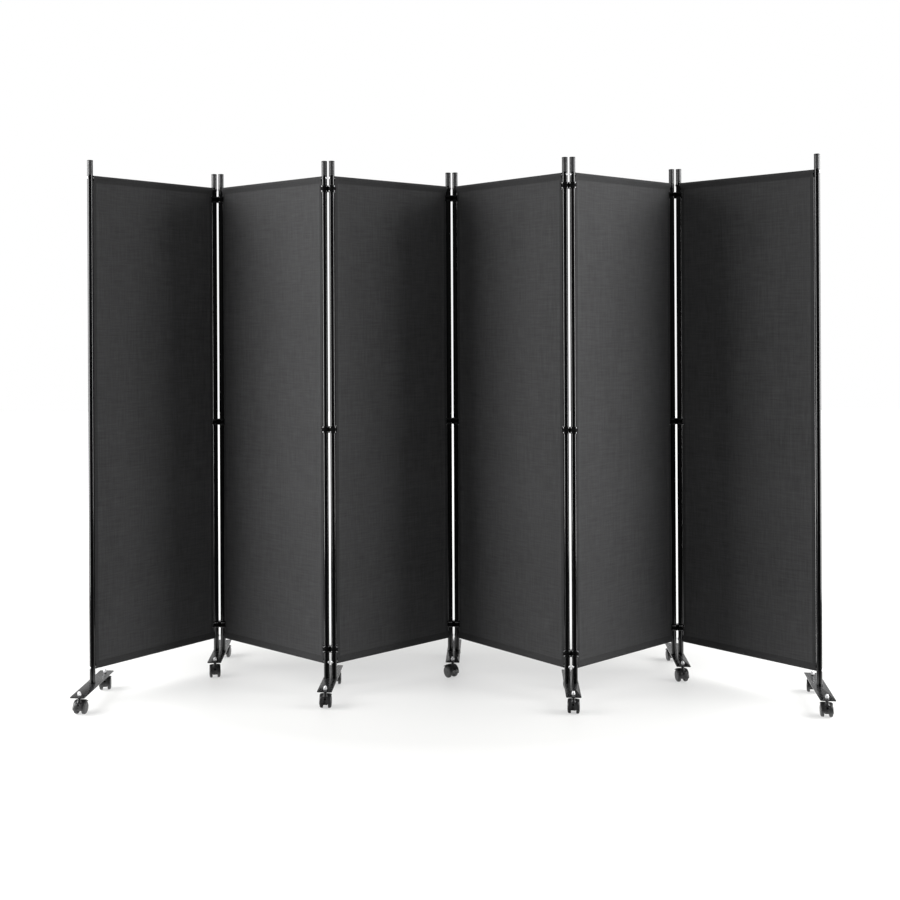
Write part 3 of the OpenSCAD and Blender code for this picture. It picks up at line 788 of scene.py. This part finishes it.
# ---------------------------------------------------------------- put every piece in place
for i in PANELS:
    fabric(i)
    bolts(i)
    caps(i)
CLIPS, BASE, NUTS, STUDS = clips_mesh(), base_mesh(), nuts_mesh(), studs_mesh()
HOODS, RECESS, WHEELS = caster_mesh(), recess_mesh(), wheels_mesh()
for k in FEET:
    at, body = foot_at[k], f"foot_{k}"
    put(f"foot_{k}_base", BASE, at, body, replaces=[f"foot_{k}_plate"])
    put(f"foot_{k}_nuts", NUTS, at, body, ZINC)
    put(f"foot_{k}_studs", STUDS, at, body, HOOD)
    if FEET[0] < k < FEET[-1]:
        put(f"hinge_{k - 1}_clips_detailed", CLIPS, at, body, replaces=[f"hinge_{k - 1}_clips"])
    for end in ENDS:
        name, at_end = f"caster_{k}_{end}", caster_at[k, end]
        put(f"{name}_hood", HOODS, at_end, name, HOOD, replaces=[f"{name}_body"])
        put(f"{name}_recess", RECESS, at_end, name, RECESS_SHADE)
        put(f"{name}_wheel_pair", WHEELS, at_end, f"wheels_{k}_{end}", WHEEL,
            replaces=[f"{name}_wheels"])
for i in PANELS:
    node = frame["nodes"][f"panel_{i}_frame"]
    node.data.materials.clear()
    node.data.materials.append(ENAMEL)

# ---------------------------------------------------------------- studio
scene = bpy.context.scene
scene.view_settings.view_transform = "Standard"
scene.view_settings.look = "None"
world = bpy.data.worlds.new("studio")
scene.world = world
world.use_nodes = True
tree = world.node_tree


def map_range(value, from_min, from_max, to_min, to_max):
    """Maps one of the world's values from one range to another."""
    node = tree.nodes.new("ShaderNodeMapRange")
    for socket, v in (("From Min", from_min), ("From Max", from_max), ("To Min", to_min), ("To Max", to_max)):
        node.inputs[socket].default_value = v
    tree.links.new(value, node.inputs["Value"])
    return node.outputs["Result"]


direction = tree.nodes.new("ShaderNodeSeparateXYZ")
tree.links.new(tree.nodes.new("ShaderNodeTexCoord").outputs["Generated"], direction.inputs[0])
ray = tree.nodes.new("ShaderNodeLightPath")
# the camera sees white paper
seen = tree.nodes["Background"]
seen.inputs["Color"].default_value, seen.inputs["Strength"].default_value = (1, 1, 1, 1), 1.0
# what lights the object is a dimmer room, a little brighter overhead
up = map_range(direction.outputs["Z"], -1, 1, 0.26, 0.88)
# and brighter behind, so that the backs of the panels don't go black
behind = map_range(direction.outputs["Y"], 0.1, 1, 1, 1.9)
# the gloss mirrors the bright paper straight behind, and the dark room beside it
backdrop = map_range(direction.outputs["Y"], 0.8, 0.92, 0.12, 1.4)
gloss = tree.nodes.new("ShaderNodeMix")
tree.links.new(ray.outputs["Is Glossy Ray"], gloss.inputs["Factor"])
tree.links.new(behind, gloss.inputs["A"])
tree.links.new(backdrop, gloss.inputs["B"])
strength = tree.nodes.new("ShaderNodeMath")
strength.operation = "MULTIPLY"
tree.links.new(up, strength.inputs[0])
tree.links.new(gloss.outputs["Result"], strength.inputs[1])
dim = tree.nodes.new("ShaderNodeBackground")
tree.links.new(strength.outputs[0], dim.inputs["Strength"])
choose = tree.nodes.new("ShaderNodeMixShader")
tree.links.new(ray.outputs["Is Camera Ray"], choose.inputs[0])
tree.links.new(dim.outputs[0], choose.inputs[1])
tree.links.new(seen.outputs[0], choose.inputs[2])
tree.links.new(choose.outputs[0], tree.nodes["World Output"].inputs["Surface"])


def floor_material():
    """Pale paper that the camera, the gloss and the light each see in their own way."""
    s = Shader("pale_floor", Roughness=0.5, Specular_IOR_Level=0.3)
    s.bsdf.inputs["Emission Color"].default_value = (1, 1, 1, 1)
    path = s.nodes.new("ShaderNodeLightPath").outputs
    camera, mirror = path["Is Camera Ray"], path["Is Glossy Ray"]
    x, y, _ = s.axes()
    # 1 under the middle of the object, and 0 at 5.6 m beside it and 3.3 m before and behind it
    gradient = s.nodes.new("ShaderNodeTexGradient")
    gradient.gradient_type = "SPHERICAL"
    s.wire(s.mapped((0.18, 0.3, 0.3)), gradient.inputs["Vector"])
    inward = gradient.outputs["Fac"]
    # painted reflection: glossy rays see the paper glow beside and behind the object, as bright paper, and see it near
    # black in front of it and far off, as a dark room
    y_up = s.math("ADD", y, 0.8)
    beside = s.math("MULTIPLY", s.ramp(s.math("ABSOLUTE", x, 0), (0.8, 0.0), (0.9, 1.0)),
                    s.ramp(y_up, (0.3, 0.0), (0.4, 1.0)))
    bright = s.math("MULTIPLY", s.math("MAXIMUM", beside, s.ramp(y_up, (0.5, 0.0), (0.95, 1.0))),
                    s.ramp(inward, (0.45, 0.0), (0.72, 1.0)))
    # painted shadow: the paper glows less under the object than far from it, and least at the rear feet
    shade = s.math("MULTIPLY", s.ramp(y, (0.1, 0.0), (0.35, 0.09)), s.ramp(inward, (0.76, 0.0), (0.84, 1.0)))
    glow = s.math("SUBTRACT", s.ramp(inward, (0.0, 1.0), (0.7, 0.62), (0.8, 0.56), (0.835, 0.5), (1.0, 0.5)), shade)
    s.wire(s.math("ADD", s.math("MULTIPLY", glow, camera), s.math("MULTIPLY", bright, mirror)),
           s.bsdf.inputs["Emission Strength"])
    paper = s.ramp(s.noise(1.5), (0.3, 0.29), (0.7, 0.31))
    # painted reflection: where the paper doesn't glow, glossy rays see it near black
    near = s.mix(s.math("MULTIPLY", mirror, s.math("SUBTRACT", 1.0, bright)), paper, (0.02, 0.02, 0.02))
    return s.use(s.mix(camera, near, (0.354, 0.354, 0.345)))


FLOOR_HALF = 12
floor_mesh = bpy.data.meshes.new("floor")
floor_mesh.from_pydata([(x * FLOOR_HALF, y * FLOOR_HALF, 0) for x, y in ((-1, -1), (1, -1), (1, 1), (-1, 1))],
                       [], [(0, 1, 2, 3)])
floor_mesh.materials.append(floor_material())
floor = bpy.data.objects.new("floor", floor_mesh)
scene.collection.objects.link(floor)


def soft_box(name, location, power):
    """A tall area light that looks at the middle of the object."""
    data = bpy.data.lights.new(name, "AREA")
    data.shape, data.size, data.size_y, data.energy = "RECTANGLE", 1.3, 2.6, power
    obj = bpy.data.objects.new(name, data)
    scene.collection.objects.link(obj)
    obj.location = location
    obj.rotation_euler = (Vector((0, 0, 0.9)) - Vector(location)).to_track_quat("-Z", "Y").to_euler()


soft_box("left_box", (-2.35, -0.6, 1.3), 98)
soft_box("right_box", (2.25, -0.42, 1.3), 97)
